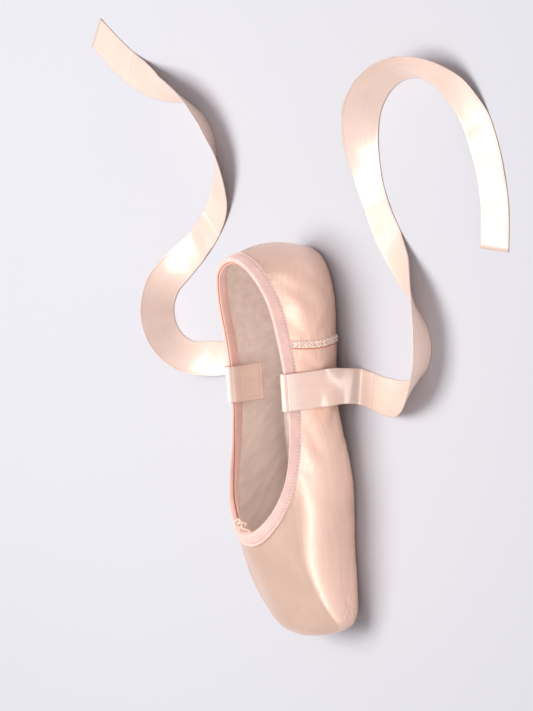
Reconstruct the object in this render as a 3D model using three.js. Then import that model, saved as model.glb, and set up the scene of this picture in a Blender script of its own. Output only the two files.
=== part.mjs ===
// Pointe shoe, standing empty on its sole. Millimetres, +X to the toe, +Y to the shoe's left, +Z up.
//
// The whole shoe is drawn from ribs. A rib starts under the foot, turns round the feather edge,
// climbs the wall to the knee and bends over to the rim of the opening. Ribs run all the way round,
// from the heel back to the platform at the toe, so the box, the vamp, the wings and the quarters
// are one wall, as the real upper is.
import * as THREE from 'three';
import { mergeVertices } from 'three/addons/utils/BufferGeometryUtils.js';

// ---- Driving dimensions -------------------------------------------------------------------------
const LENGTH = 238; // heel back to platform
const SOLE_THICK = 2.4; // leather outsole
const SOLE_EDGE = 1.6; // the same, shaved down at its edge
const SOLE_SHAVE = 6; // width of the shaved edge
const GAP = 0.3; // between pieces that touch
const UNDER_WALL = 1.9; // turned-in edge of the upper, under the foot
const TUCK = 6; // how far that edge reaches in over the outsole
const FEATHER_HEIGHT = 1.2; // lowest line of the upper, round the outsole
const FEATHER_ROUND = 8; // rounding where the wall turns under
const INSOLE_THICK = 2.2;
const INSOLE_EDGE = 5; // insole edge, in from the corner of the hollow
const EDGE_BEVEL = 0.5; // eased edges of outsole and insole
const ARCH = { from: 54, to: 146, rise: 4 }; // the sole leaves the floor under the arch
const SPRING = { from: 192, rise: 5 }; // and again towards the toe
const BINDING = { width: 7, thick: 0.8 }; // folded tape round the rim
const RIBBON = { width: 22, thick: 0.8 };
const CORD = { diameter: 1.4, sides: 8, steps: 72 }; // drawstring

// ---- Ribs: a row for each, from the heel back round the left side to the toe ---------------------
// outX, outY    widest line of the shoe in plan
// footIn        where the wall turns under, in from the widest line
// soleX, soleY  edge of the outsole
// kneeIn, kneeZ where wall and top would meet, in from the widest line, and its height
// down, over    how far the bend at the knee reaches down the wall and over the top
// rimX..rimZ    rim of the opening
// wall          thickness: thin satin and lining behind, stiff paste and canvas in the box
const RIB_COLUMNS = ['outX', 'outY', 'soleX', 'soleY', 'footIn', 'kneeIn', 'kneeZ', 'down', 'over',
  'rimX', 'rimY', 'rimZ', 'wall'];
const RIB_ROWS = [
  [0, 0, 7, 0, 5, -2.7, 33, 20, 18, 7, 0, 58, 2.0], // heel back
  [8.5, 20.4, 13, 13, 5, -1.8, 32, 18, 18, 13.5, 15.6, 57, 2.0], // heel round
  [30, 30, 31, 19, 4.6, -0.8, 28, 14, 16, 31, 24.6, 52, 1.8], // heel side
  [60, 31, 61, 16.5, 4.6, -0.6, 25, 12, 13.5, 60, 27, 46.5, 1.8], // side seam
  [95, 32, 95, 13.5, 5, -0.8, 25, 12, 11.5, 92, 28, 44, 1.8], // waist
  [130, 35, 130, 18, 6, -0.8, 27, 14, 14, 118, 28.5, 45.5, 2.2], // wing
  [160, 37, 160, 20.5, 9.5, -0.8, 34, 20, 17, 138, 27.5, 49.5, 3.0], // ball
  [189, 34.6, 186, 18.5, 10.8, -0.8, 35.6, 20, 22, 153.5, 22.5, 54.8, 3.6], // box side
  [213, 34.4, 202, 17, 7.5, -0.6, 33, 16, 22, 163.5, 15, 58.8, 3.8], // box corner
  [231.5, 31.5, 208.5, 12, 2.6, -0.4, 24.6, 7.5, 20, 168.6, 9, 61, 3.8], // platform edge
  [236.4, 16.2, 210.5, 6, 2.2, -0.5, 27.5, 6.7, 10, 170.5, 4.4, 61.8, 3.8], // platform
  [238, 0, 211, 0, 2, -0.6, 29, 6.6, 19, 171, 0, 62, 3.8], // toe
];
const STEPS_PER_ROW = 4; // ribs drawn for each row of the table

// ---- Smooth ring of ribs ------------------------------------------------------------------------
function named(columns, row) {
  return Object.fromEntries(columns.map((name, i) => [name, row[i]]));
}

function mirrored(rib) {
  return { ...rib, outY: -rib.outY, soleY: -rib.soleY, rimY: -rib.rimY };
}

const leftRibs = RIB_ROWS.map((row) => named(RIB_COLUMNS, row));
const rightRibs = leftRibs.slice(1, -1).reverse().map(mirrored);
const loopRibs = [...leftRibs, ...rightRibs];

function chord(i) {
  const a = loopRibs.at(i);
  const b = loopRibs[(i + 1 + loopRibs.length) % loopRibs.length];
  return Math.hypot(b.outX - a.outX, b.outY - a.outY);
}

// Slope of one column at row i, weighted by the two chords beside it.
function slope(name, i) {
  const n = loopRibs.length;
  const before = chord((i + n - 1) % n);
  const after = chord(i);
  const rise = loopRibs[(i + 1) % n][name] - loopRibs[i][name];
  const fall = loopRibs[i][name] - loopRibs[(i + n - 1) % n][name];
  return ((rise / after) * before + (fall / before) * after) / (before + after);
}

// Cubic through the rows: a rib at the fraction f between row i and the next.
function ribBetween(i, f) {
  const next = (i + 1) % loopRibs.length;
  const h = chord(i);
  const f2 = f * f;
  const f3 = f2 * f;
  const rib = {};
  for (const name of RIB_COLUMNS) {
    rib[name] = (2 * f3 - 3 * f2 + 1) * loopRibs[i][name]
      + (3 * f2 - 2 * f3) * loopRibs[next][name]
      + (f3 - 2 * f2 + f) * h * slope(name, i)
      + (f3 - f2) * h * slope(name, next);
  }
  return rib;
}

const ribs = loopRibs.flatMap((_, i) => (
  Array.from({ length: STEPS_PER_ROW }, (__, j) => ribBetween(i, j / STEPS_PER_ROW))));

// ---- Shape of one rib ---------------------------------------------------------------------------
const UP = new THREE.Vector3(0, 0, 1);
const vec = (x, y, z) => new THREE.Vector3(x, y, z);
const mix = (a, b, f) => a.clone().lerp(b, f);

// Height of the underside of the outsole above the floor.
function lift(x) {
  const t = (x - ARCH.from) / (ARCH.to - ARCH.from);
  const arch = t > 0 && t < 1 ? ARCH.rise * Math.sin(Math.PI * t) ** 2 : 0;
  const s = Math.max(0, (x - SPRING.from) / (LENGTH - SPRING.from));
  return arch + SPRING.rise * s * s;
}

// The rib's corners at a depth inside the outer face. From under the foot to the rim they are the
// under edge, the crossing of the outsole's edge, the foot of the wall, the knee and the rim.
function corners(rib, depth) {
  const out = vec(rib.outX, rib.outY, 0);
  const rim = vec(rib.rimX, rib.rimY, rib.rimZ);
  const inward = vec(rim.x - out.x, rim.y - out.y, 0).normalize();
  const foot = out.clone().addScaledVector(inward, rib.footIn);
  const sole = vec(rib.soleX, rib.soleY, 0);
  const under = sole.clone().add(sole.clone().sub(foot).setLength(TUCK));
  const knee = out.clone().addScaledVector(inward, rib.kneeIn);
  const floor = Math.min(depth, UNDER_WALL);
  under.z = lift(under.x) + SOLE_THICK + GAP + floor;
  sole.z = lift(sole.x) + SOLE_EDGE + GAP + floor;
  foot.z = lift(foot.x) + FEATHER_HEIGHT;
  knee.z = rib.kneeZ;

  const side = inward.clone().cross(UP);
  const wallNormal = knee.clone().sub(foot).normalize().cross(side);
  const topNormal = rim.clone().sub(knee).normalize().cross(side);
  const miter = wallNormal.clone().add(topNormal).divideScalar(1 + wallNormal.dot(topNormal));
  foot.addScaledVector(wallNormal, depth).addScaledVector(UP, floor);
  knee.addScaledVector(miter, depth);
  rim.addScaledVector(topNormal, depth);
  return { under, sole, foot, knee, rim };
}

// Points along a rib: two round bends joined by straight stretches.
function ribLine(rib, depth) {
  const { under, sole, foot, knee, rim } = corners(rib, depth);
  const wallLength = foot.distanceTo(knee);
  const topLength = knee.distanceTo(rim);
  const flat = foot.distanceTo(sole);
  const feather = Math.min(Math.max(2, FEATHER_ROUND - depth), 0.9 * flat);
  const down = Math.min(Math.max(2, rib.down - depth), wallLength - feather);
  const footIn = mix(foot, sole, feather / flat);
  const footUp = mix(foot, knee, feather / wallLength);
  const kneeDown = mix(knee, foot, down / wallLength);
  const kneeOver = mix(knee, rim, rib.over / topLength);
  return [
    under,
    sole,
    ...bend(footIn, foot, footUp, 3),
    ...bend(kneeDown, knee, kneeOver, 6),
    mix(kneeOver, rim, 0.5),
    rim,
  ];
}

// A point of the straight stretch below the rim, at a depth and a distance down from the rim.
function belowRim(rib, depth, drop) {
  const { knee, rim } = corners(rib, depth);
  return rim.add(knee.sub(rim).setLength(1).multiplyScalar(drop));
}

function bend(from, corner, to, steps) {
  const curve = new THREE.QuadraticBezierCurve3(from, corner, to);
  return curve.getPoints(steps);
}

// ---- Closed bodies from rings -------------------------------------------------------------------
// Rings all have one point a rib. They join into a tube, closed on itself or capped at both ends.
function ringBody(rings, closed) {
  const n = rings[0].length;
  const triangles = [];
  const quad = (a, b, c, d) => triangles.push(a, b, c, a, c, d);
  const last = closed ? rings.length : rings.length - 1;
  for (let r = 0; r < last; r += 1) {
    const next = rings[(r + 1) % rings.length];
    for (let i = 0; i < n; i += 1) {
      const j = (i + 1) % n;
      quad(rings[r][i], rings[r][j], next[j], next[i]);
    }
  }
  if (!closed) {
    cap(rings[0], triangles, false);
    cap(rings.at(-1), triangles, true);
  }
  return meshBody(triangles);
}

// A cap joins each rib to its mirror image across the shoe, so it bends only along the length.
function cap(ring, triangles, top) {
  const n = ring.length;
  for (let i = 0; i < n / 2; i += 1) {
    const far = ring[(n - i) % n];
    const farNext = ring[n - i - 1];
    const corner = [ring[i], ring[i + 1], farNext, far];
    if (!top) corner.reverse();
    triangles.push(corner[0], corner[1], corner[2], corner[0], corner[2], corner[3]);
  }
}

function meshBody(points) {
  const raw = new THREE.BufferGeometry();
  const coords = points.flatMap((p) => p.toArray());
  raw.setAttribute('position', new THREE.Float32BufferAttribute(coords, 3));
  const body = mergeVertices(raw, 1e-4);
  body.setIndex(wholeTriangles(body));
  if (volume(body) < 0) body.setIndex([...body.index.array].reverse());
  body.computeVertexNormals();
  return body;
}

// Triangles that merging left with fewer than three corners are dropped.
function wholeTriangles(body) {
  const index = body.index.array;
  const kept = [];
  for (let t = 0; t < index.length; t += 3) {
    const [a, b, c] = index.slice(t, t + 3);
    if (a !== b && b !== c && c !== a) kept.push(a, b, c);
  }
  return kept;
}

function volume(body) {
  const p = body.attributes.position;
  const at = (i) => vec(p.getX(i), p.getY(i), p.getZ(i));
  const index = body.index.array;
  let sum = 0;
  for (let t = 0; t < index.length; t += 3) {
    sum += at(index[t]).dot(at(index[t + 1]).cross(at(index[t + 2]))) / 6;
  }
  return sum;
}

// Lines, one a rib, turned into rings, one a point.
function ringsOf(lines) {
  return lines[0].map((_, k) => lines.map((line) => line[k]));
}

// ---- Pieces of the shoe -------------------------------------------------------------------------
function upper() {
  const sections = ribs.map((rib) => [
    ...ribLine(rib, 0),
    ...ribLine(rib, rib.wall).reverse(),
  ]);
  return ringBody(ringsOf(sections), true);
}

function outsole() {
  const plate = (inset, height) => ribs.map((rib) => {
    const { sole, under } = corners(rib, 0);
    const edge = mix(sole, under, inset / TUCK);
    edge.z = lift(edge.x) + height;
    return edge;
  });
  const rings = [
    plate(EDGE_BEVEL, 0),
    plate(0, EDGE_BEVEL),
    plate(0, SOLE_EDGE),
    plate(SOLE_SHAVE, SOLE_THICK),
  ];
  return ringBody(rings, false);
}

// The insole lies on the turned-in edge of the upper and fills the opening inside that edge.
function insole() {
  const bottom = SOLE_THICK + GAP;
  const ledge = bottom + UNDER_WALL + GAP;
  const top = ledge + INSOLE_THICK;
  const inFrom = (edge, inset, height) => ribs.map((rib) => {
    const place = corners(rib, rib.wall);
    const point = place[edge];
    point.add(place.under.clone().sub(place.foot).setZ(0).setLength(inset));
    point.z = lift(point.x) + height;
    return point;
  });
  const rings = [
    inFrom('under', 2 * GAP, bottom),
    inFrom('under', 2 * GAP, ledge),
    inFrom('foot', INSOLE_EDGE, ledge),
    inFrom('foot', INSOLE_EDGE, top - EDGE_BEVEL),
    inFrom('foot', INSOLE_EDGE + EDGE_BEVEL, top),
  ];
  return ringBody(rings, false);
}

// Tape folded over the rim, with one leg outside and one inside.
function binding() {
  const face = GAP + BINDING.thick;
  const sections = ribs.map((rib) => [
    belowRim(rib, -face, BINDING.width),
    belowRim(rib, -face, -GAP),
    belowRim(rib, -GAP, -face),
    belowRim(rib, rib.wall + GAP, -face),
    belowRim(rib, rib.wall + face, -GAP),
    belowRim(rib, rib.wall + face, BINDING.width),
    belowRim(rib, rib.wall + GAP, BINDING.width),
    belowRim(rib, rib.wall + GAP, -GAP),
    belowRim(rib, -GAP, -GAP),
    belowRim(rib, -GAP, BINDING.width),
  ]);
  return ringBody(ringsOf(sections), true);
}

// ---- Ribbons: from the inside of each quarter, over the rim and out over the floor ---------------
// x, y      middle of the ribbon
// z         height of its lower edge
// roll      0 lies flat, 90 stands on its edge
const RIBBON_COLUMNS = ['x', 'y', 'z', 'roll'];
const LEFT_RIBBON = [
  [86, 23, 24, 0],
  [86, 23.4, 38, 0],
  [86, 23.8, 44.6, 0],
  [86, 25.2, 47.2, 0],
  [86, 27.4, 47.8, 0],
  [86, 29.6, 46.6, 0],
  [86, 30.7, 43.4, 0],
  [86, 32.2, 36, 0],
  [86, 33.4, 24, 0],
  [86, 35.6, 12, 0],
  [87, 40, 3.4, 0],
  [89, 50, 1.1, 0],
  [92, 66, 1.1, 6],
  [91, 84, 1.1, 30],
  [83, 100, 1.1, 56],
  [68, 109, 1.1, 68],
  [50, 109, 1.1, 62],
  [33, 101, 1.1, 40],
  [18, 89, 1.1, 14],
  [2, 77, 1.1, 0],
  [-16, 67, 1.1, 0],
  [-37, 61, 1.1, -8],
  [-59, 62, 1.1, -32],
  [-78, 71, 1.1, -56],
  [-91, 87, 1.1, -64],
  [-96, 107, 1.1, -58],
  [-92, 127, 1.1, -40],
  [-80, 144, 1.1, -14],
  [-62, 156, 1.1, 0],
  [-41, 163, 1.1, 0],
  [-18, 166, 1.1, 0],
  [6, 164, 1.1, 0],
];
const RIGHT_RIBBON = [
  [84, -23, 24, 0],
  [84, -23.4, 38, 0],
  [84, -23.8, 44.6, 0],
  [84, -25.2, 47.2, 0],
  [84, -27.4, 47.8, 0],
  [84, -29.6, 46.6, 0],
  [84, -30.7, 43.4, 0],
  [84, -32.2, 36, 0],
  [84, -33.4, 24, 0],
  [84, -35.6, 12, 0],
  [83, -40, 3.4, 0],
  [80, -50, 1.1, 0],
  [77, -65, 1.1, 0],
  [76, -86, 1.1, 0],
  [77, -108, 1.1, -12],
  [75, -130, 1.1, -40],
  [64, -147, 1.1, -60],
  [47, -153, 1.1, -62],
  [30, -147, 1.1, -44],
  [17, -133, 1.1, -16],
  [5, -116, 1.1, 0],
  [-9, -99, 1.1, 0],
  [-26, -86, 1.1, 8],
  [-46, -80, 1.1, 32],
  [-66, -84, 1.1, 54],
  [-82, -96, 1.1, 60],
  [-92, -114, 1.1, 52],
  [-97, -135, 1.1, 30],
  [-103, -157, 1.1, 8],
  [-112, -178, 1.1, 0],
  [-124, -197, 1.1, 0],
  [-137, -215, 1.1, 0],
];
const RIBBON_STEPS = 62;

function ribbon(rows) {
  const route = rows.map((row) => named(RIBBON_COLUMNS, row));
  const half = RIBBON.width / 2;
  const radians = THREE.MathUtils.degToRad;
  const raised = (p) => p.z + half * Math.abs(Math.sin(radians(p.roll)));
  const middle = new THREE.CatmullRomCurve3(route.map((p) => vec(p.x, p.y, raised(p))));
  const rolls = new THREE.SplineCurve(route.map((p, i) => new THREE.Vector2(i, p.roll)));
  const rings = Array.from({ length: RIBBON_STEPS + 1 }, (_, i) => {
    const t = i / RIBBON_STEPS;
    const at = middle.getPoint(t);
    const along = middle.getTangent(t);
    const roll = radians(rolls.getPoint(t).y);
    const across = vec(along.y, -along.x, 0).normalize().multiplyScalar(Math.cos(roll));
    across.addScaledVector(UP, Math.sin(roll));
    const normal = across.clone().cross(along).normalize();
    const corner = (a, b) => at.clone().addScaledVector(across, a * half)
      .addScaledVector(normal, b * RIBBON.thick / 2);
    return [corner(1, 1), corner(-1, 1), corner(-1, -1), corner(1, -1)];
  });
  return ringBody(rings, false);
}

// ---- Drawstring: one loose overhand knot at the throat, both ends back in the binding ------------
// x, z         middle of the knot
// size, rise   a third of its outer radius, and how far its crossings stand apart
// cut          how much of the bottom lobe is left open for the two ends, in radians a side
// lean         how far it leans back from upright, in degrees
const KNOT = { x: 164, z: 64.6, size: 1.4, rise: 1.4, cut: 0.75, points: 26, lean: 64 };
const KNOT_LEG = { x: 168.4, y: 4.4, z: 61.8, bend: 1.2 }; // where each end meets the binding

function drawstring() {
  const lean = THREE.MathUtils.degToRad(KNOT.lean);
  const up = vec(-Math.sin(lean), 0, Math.cos(lean));
  const out = vec(Math.cos(lean), 0, Math.sin(lean));
  const loop = Array.from({ length: KNOT.points + 1 }, (_, i) => {
    const t = Math.PI + KNOT.cut + (2 * (Math.PI - KNOT.cut) * i) / KNOT.points;
    return vec(KNOT.x, KNOT.size * (Math.sin(t) + 2 * Math.sin(2 * t)), KNOT.z)
      .addScaledVector(up, KNOT.size * (Math.cos(t) - 2 * Math.cos(2 * t)))
      .addScaledVector(out, -KNOT.rise * Math.sin(3 * t));
  });
  const end = (side) => vec(KNOT_LEG.x, side * KNOT_LEG.y, KNOT_LEG.z);
  const leg = (side) => end(side).addScaledVector(up, KNOT_LEG.bend);
  const path = new THREE.CatmullRomCurve3([end(1), leg(1), ...loop, leg(-1), end(-1)]);
  const section = new THREE.Shape();
  section.absarc(0, 0, CORD.diameter / 2, 0, 2 * Math.PI);
  const tube = new THREE.ExtrudeGeometry(section, {
    steps: CORD.steps, curveSegments: CORD.sides, extrudePath: path, bevelEnabled: false,
  });
  tube.deleteAttribute('normal');
  tube.deleteAttribute('uv');
  return mergeVertices(tube, 1e-4);
}

// ---- The shoe -----------------------------------------------------------------------------------
const LOOKS = {
  satin: { color: 0xecc6ae, roughness: 0.35, metalness: 0 },
  tape: { color: 0xeecbc3, roughness: 0.8, metalness: 0 },
  leather: { color: 0xc9a582, roughness: 0.7, metalness: 0 },
  sock: { color: 0xe6dccd, roughness: 0.85, metalness: 0 },
  ribbonSatin: { color: 0xf3dcd0, roughness: 0.3, metalness: 0 },
  cord: { color: 0xf1e6dc, roughness: 0.8, metalness: 0 },
};

function piece(name, geometry, look) {
  const mesh = new THREE.Mesh(geometry, new THREE.MeshStandardMaterial(LOOKS[look]));
  mesh.name = name;
  return mesh;
}

// The ribs are drawn from the heel back. The origin is under the middle of the shoe, on the floor.
const group = new THREE.Group();
group.add(
  piece('upper', upper(), 'satin'),
  piece('outsole', outsole(), 'leather'),
  piece('insole', insole(), 'sock'),
  piece('binding', binding(), 'tape'),
  piece('ribbon_left', ribbon(LEFT_RIBBON), 'ribbonSatin'),
  piece('ribbon_right', ribbon(RIGHT_RIBBON), 'ribbonSatin'),
  piece('drawstring', drawstring(), 'cord'),
);
group.position.x = -LENGTH / 2;

export default group;
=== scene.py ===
"""Looks of a satin pointe shoe that stands empty on its sole, with its ribbons let down on the floor.

The CAD frame is loaded first, and each piece is then made in the same place by its own operator.
Sizes in the tables are millimetres from the back of the heel; finished meshes are in metres.
"""
import math

import bpy
import numpy as np
from mathutils import Matrix, Vector


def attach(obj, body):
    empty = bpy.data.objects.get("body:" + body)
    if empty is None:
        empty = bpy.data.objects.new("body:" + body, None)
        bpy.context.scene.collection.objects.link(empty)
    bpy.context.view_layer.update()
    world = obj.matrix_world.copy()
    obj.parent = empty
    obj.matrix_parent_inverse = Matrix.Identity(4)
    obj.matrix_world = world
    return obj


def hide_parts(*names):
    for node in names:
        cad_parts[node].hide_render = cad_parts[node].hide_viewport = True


bl_info = {
    "name": "Pointe shoe",
    "version": (1, 0, 0),
    "blender": (4, 5, 0),
    "location": "View3D > Sidebar > Pointe shoe",
    "description": "Satin pointe shoe with folded binding, drawstring and two sewn-in ribbons",
    "category": "Object",
}

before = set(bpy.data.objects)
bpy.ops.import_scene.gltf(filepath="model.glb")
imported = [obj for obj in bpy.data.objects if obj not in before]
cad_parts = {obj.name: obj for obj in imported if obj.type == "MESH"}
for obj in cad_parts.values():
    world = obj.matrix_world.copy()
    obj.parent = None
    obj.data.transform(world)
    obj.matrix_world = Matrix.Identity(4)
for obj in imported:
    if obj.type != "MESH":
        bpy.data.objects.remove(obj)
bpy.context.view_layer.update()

# ---- Last and pattern sizes, in millimetres -------------------------------------------------------
MM = 0.001
LENGTH = 238.0
SOLE_THICK = 2.4
SOLE_EDGE = 1.6
GAP = 0.3
UNDER_WALL = 1.9
TUCK = 6.0
FEATHER_HEIGHT = 1.2
FEATHER_ROUND = 8.0
INSOLE_THICK = 2.2
INSOLE_EDGE = 5.0
ARCH_FROM, ARCH_TO, ARCH_RISE = 54.0, 146.0, 4.0
SPRING_FROM, SPRING_RISE = 192.0, 5.0
UP = np.array([0.0, 0.0, 1.0])

# A rib for each row, from the heel back round the left side to the toe.
RIB_COLUMNS = ("out_x", "out_y", "sole_x", "sole_y", "foot_in", "knee_in", "knee_z", "down", "over",
               "rim_x", "rim_y", "rim_z", "wall")
RIB_ROWS = (
    (0, 0, 7, 0, 5, -2.7, 33, 20, 18, 7, 0, 58, 2.0),  # heel back
    (8.5, 20.4, 13, 13, 5, -1.8, 32, 18, 18, 13.5, 15.6, 57, 2.0),  # heel round
    (30, 30, 31, 19, 4.6, -0.8, 28, 14, 16, 31, 24.6, 52, 1.8),  # heel side
    (60, 31, 61, 16.5, 4.6, -0.6, 25, 12, 13.5, 60, 27, 46.5, 1.8),  # side seam
    (95, 32, 95, 13.5, 5, -0.8, 25, 12, 11.5, 92, 28, 44, 1.8),  # waist
    (130, 35, 130, 18, 6, -0.8, 27, 14, 14, 118, 28.5, 45.5, 2.2),  # wing
    (160, 37, 160, 20.5, 9.5, -0.8, 34, 20, 17, 138, 27.5, 49.5, 3.0),  # ball
    (189, 34.6, 186, 18.5, 10.8, -0.8, 35.6, 20, 22, 153.5, 22.5, 54.8, 3.6),  # box side
    (213, 34.4, 202, 17, 7.5, -0.6, 33, 16, 22, 163.5, 15, 58.8, 3.8),  # box corner
    (231.5, 31.5, 208.5, 12, 2.6, -0.4, 24.6, 7.5, 20, 168.6, 9, 61, 3.8),  # platform edge
    (236.4, 16.2, 210.5, 6, 2.2, -0.5, 27.5, 6.7, 10, 170.5, 4.4, 61.8, 3.8),  # platform
    (238, 0, 211, 0, 2, -0.6, 29, 6.6, 19, 171, 0, 62, 3.8),  # toe
)
SEAM_ROW = 3.0  # the left side seam; the right one is as far round the other way
TOE_ROW = 11.0
ROWS_ROUND = 22
ROW_PITCH = 30.0  # millimetres from row to row beside the seams

# Creases of the side walls: side (1 left, -1 right), x and height of both ends, width, depth.
# A negative depth is a soft ridge.
CREASES = (
    (1, 70, 7, 101, 27, 3.4, 0.42), (1, 78, 6, 108, 24, 3.0, -0.22),
    (1, 86, 5, 117, 20, 3.0, 0.34), (1, 100, 37, 131, 25, 4.2, 0.30),
    (1, 65, 37, 79, 15, 3.0, 0.34), (1, 72, 38, 88, 22, 3.4, -0.22),
    (1, 18, 47, 44, 13, 4.6, 0.42), (1, 27, 47, 51, 18, 4.2, -0.26),
    (1, 8, 32, 33, 8, 3.6, 0.34), (1, 41, 45, 55, 28, 3.0, 0.26),
    (1, 14, 35, 54, 31, 6.0, -0.45), (-1, 14, 35, 54, 31, 6.0, -0.45),
    (1, 45, 9, 57, 24, 2.8, 0.30), (1, 112, 6, 131, 15, 3.0, 0.24),
    (1, 146, 6, 170, 5, 3.2, 0.20), (1, 122, 41, 148, 33, 4.0, 0.18),
    (-1, 68, 8, 99, 25, 3.4, 0.40), (-1, 80, 5, 113, 23, 3.2, -0.20),
    (-1, 90, 6, 119, 18, 3.0, 0.32), (-1, 98, 38, 126, 28, 4.0, 0.30),
    (-1, 64, 38, 76, 18, 3.0, 0.32), (-1, 16, 46, 42, 14, 4.6, 0.40),
    (-1, 26, 46, 49, 17, 4.0, -0.24), (-1, 10, 30, 36, 9, 3.4, 0.32),
    (-1, 44, 44, 56, 26, 3.0, 0.26), (-1, 47, 8, 58, 22, 2.8, 0.28),
    (-1, 115, 6, 134, 16, 3.0, 0.22), (-1, 148, 7, 172, 5, 3.2, 0.20),
)
CREASE_SHARE = 1.7
# Heights of the smaller waves, in millimetres.
SLACK, FINE_SLACK, BOX_SLACK = 0.16, 0.08, 0.05
BINDING_GATHER = 0.11
SIDE_SEAM_PUCKER, BACK_SEAM_PUCKER, SEAM_SINK = 0.30, 0.16, 0.25
SOLE_PUCKER = 0.22
TOE_PLEATS = 19
TOE_PLEAT_DEPTH = 0.75
TOE_PLEATS_FROM, TOE_PLEATS_ROUND = 8.4, 5.2  # first row of the fan, and its rows

# Ribbons over the rim: how far out from the shoe's middle, and height of the ribbon there.
OVER_RIM = ((23, 24), (23.4, 38), (23.8, 44.6), (25.2, 47.2), (27.4, 47.8), (29.6, 46.6),
            (30.7, 43.4), (32.2, 36), (33.4, 24), (35.6, 12))
LEFT_RIM_X, RIGHT_RIM_X = 86, 84
LANDING, ON_FLOOR = 3.4, 1.1  # heights of the lower edge
# Ribbons on the floor: x, y and roll (0 flat, 90 on its edge).
LEFT_ON_FLOOR = (
    (87, 40, 0), (89, 50, 0), (92, 66, 6), (91, 84, 30), (83, 100, 56), (68, 109, 68),
    (50, 109, 62), (33, 101, 40), (18, 89, 14), (2, 77, 0), (-16, 67, 0), (-37, 61, -8),
    (-59, 62, -32), (-78, 71, -56), (-91, 87, -64), (-96, 107, -58), (-92, 127, -40),
    (-80, 144, -14), (-62, 156, 0), (-41, 163, 0), (-18, 166, 0), (6, 164, 0),
)
RIGHT_ON_FLOOR = (
    (83, -40, 0), (80, -50, 0), (77, -65, 0), (76, -86, 0), (77, -108, -12), (75, -130, -40),
    (64, -147, -60), (47, -153, -62), (30, -147, -44), (17, -133, -16), (5, -116, 0),
    (-9, -99, 0), (-26, -86, 8), (-46, -80, 32), (-66, -84, 54), (-82, -96, 60),
    (-92, -114, 52), (-97, -135, 30), (-103, -157, 8), (-112, -178, 0), (-124, -197, 0),
    (-137, -215, 0),
)

# Overhand knot of the drawstring: middle, size, and how far its crossings stand apart.
KNOT_X, KNOT_Z, KNOT_SIZE, KNOT_RISE, KNOT_CUT, KNOT_LEAN = 164.0, 64.6, 1.4, 1.4, 0.75, 64.0
KNOT_POINTS = 26
LEG_X, LEG_Y, LEG_Z, LEG_BEND = 168.4, 4.4, 61.8, 1.2


def linear(code):
    """An sRGB hex colour as linear red, green and blue."""
    parts = [int(code[i:i + 2], 16) / 255 for i in (0, 2, 4)]
    return [c / 12.92 if c <= 0.04045 else ((c + 0.055) / 1.055) ** 2.4 for c in parts]


def colour_prop(name, description, code):
    return bpy.props.FloatVectorProperty(name=name, description=description, subtype="COLOR", size=3,
                                         min=0, max=1, default=linear(code))


def length_prop(name, description, default):
    return bpy.props.FloatProperty(name=name, description=description, unit="LENGTH", min=0,
                                   precision=5, default=default)


class ShoeSizes(bpy.types.PropertyGroup):
    """Sizes that a maker would change."""
    binding_width: length_prop("Binding width", "How far the folded tape covers the edge", 0.007)
    binding_thick: length_prop("Binding thickness", "Thickness of the tape", 0.0008)
    ribbon_width: length_prop("Ribbon width", "Width of the satin ribbon", 0.022)
    ribbon_thick: length_prop("Ribbon thickness", "Thickness of the satin ribbon", 0.00035)
    cord_width: length_prop("Drawstring thickness", "Diameter of the cotton drawstring", 0.0014)
    seam_width: length_prop("Seam width", "Width of the overlocked side seam", 0.0046)
    stitch_pitch: length_prop("Stitch length", "From one stitch of the binding to the next", 0.0019)
    thread_width: length_prop("Thread thickness", "Diameter of the sewing thread", 0.00045)


class ShoeColours(bpy.types.PropertyGroup):
    """Colours of cloth, leather and thread, and one painted shade colour."""
    satin: colour_prop("Satin", "Satin of the upper", "F4CCB8")
    binding: colour_prop("Binding", "Cotton tape of the binding", "F3CAC0")
    ribbon: colour_prop("Ribbon", "Satin of the ribbons", "F0D3C5")
    thread: colour_prop("Thread", "Sewing thread", "FFF3EA")
    lining: colour_prop("Lining", "Cotton drill inside the upper", "FFEFE8")
    sock: colour_prop("Sock", "Brushed cotton on the insole", "F8EAE2")
    leather: colour_prop("Sole leather", "Buffed leather of the outsole", "C6A283")
    cord: colour_prop("Drawstring", "Twisted cotton drawstring", "EFCFC0")
    # fold is painted shade: a deep warm colour that stands in for the shade in folds, the drawstring
    # channel and needle holes.
    fold: colour_prop("Fold", "Satin fold and needle holes, in their own shade", "D08868")
    floor: colour_prop("Floor", "Painted studio floor", "C9C8CF")


def sizes():
    return bpy.context.scene.pointe_sizes


def colours():
    return bpy.context.scene.pointe_colours


# ---- Shape of the upper ---------------------------------------------------------------------------
def unit(v):
    return v / np.linalg.norm(v, axis=-1, keepdims=True)


def loop_table():
    """The rows of both sides as one ring, with the slope of every column at each row."""
    left = np.array(RIB_ROWS, float)
    right = left[-2:0:-1].copy()
    for name in ("out_y", "sole_y", "rim_y"):
        right[:, RIB_COLUMNS.index(name)] *= -1
    ring = np.vstack([left, right])
    after = np.linalg.norm(np.roll(ring, -1, 0)[:, :2] - ring[:, :2], axis=1)
    before = np.roll(after, 1)
    rise = (np.roll(ring, -1, 0) - ring) / after[:, None]
    fall = np.roll(rise, 1, 0)
    slope = (rise * before[:, None] + fall * after[:, None]) / (after + before)[:, None]
    return ring, after, slope


RING, CHORD, SLOPE = loop_table()


def rib_at(stations):
    """Ribs at fractional rows: 0 heel back, 11 toe, and on round the right side to 22."""
    s = np.asarray(stations, float) % ROWS_ROUND
    i = s.astype(int)
    f = (s - i)[:, None]
    j = (i + 1) % ROWS_ROUND
    h = CHORD[i][:, None]
    row = ((2 * f**3 - 3 * f**2 + 1) * RING[i] + (3 * f**2 - 2 * f**3) * RING[j]
           + (f**3 - 2 * f**2 + f) * h * SLOPE[i] + (f**3 - f**2) * h * SLOPE[j])
    return dict(zip(RIB_COLUMNS, row.T))


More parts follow.
